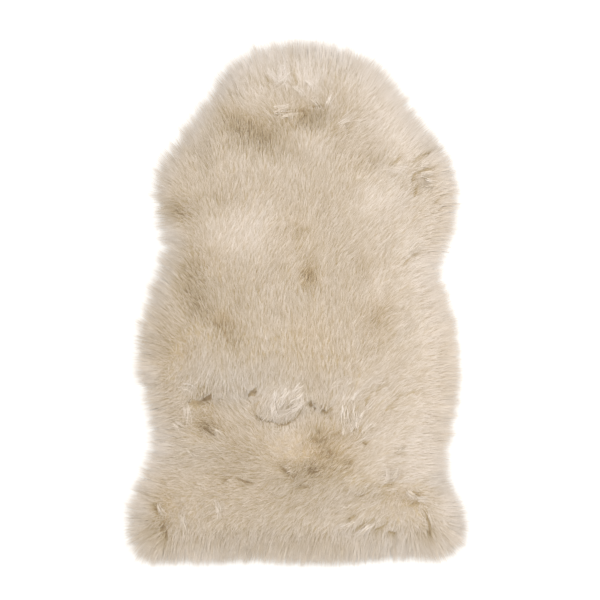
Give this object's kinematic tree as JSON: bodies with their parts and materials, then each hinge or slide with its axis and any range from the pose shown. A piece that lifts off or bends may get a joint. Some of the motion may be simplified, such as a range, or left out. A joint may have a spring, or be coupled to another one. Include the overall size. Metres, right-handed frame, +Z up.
{
  "type": "sheepskin rug",
  "caption": "Long-wool sheepskin rug lying flat wool side up, with a narrow neck, full shoulders and flanks, a square tail end and locks drooping round its rim.",
  "frame": {"origin": "on the floor, under the middle of the rug's bounding box", "axes": "+X across the rug to its right side, +Y along it from the tail to the neck, +Z up, out of the wool"},
  "size_m": [0.6028, 0.9266, 0.0571],
  "materials": {
    "wool": "dense matt beige wool pile, paler at its tips and warmer brown at its roots"
  },
  "bodies": {
    "root": {"sheepskin": "wool"}
  },
  "joints": []
}
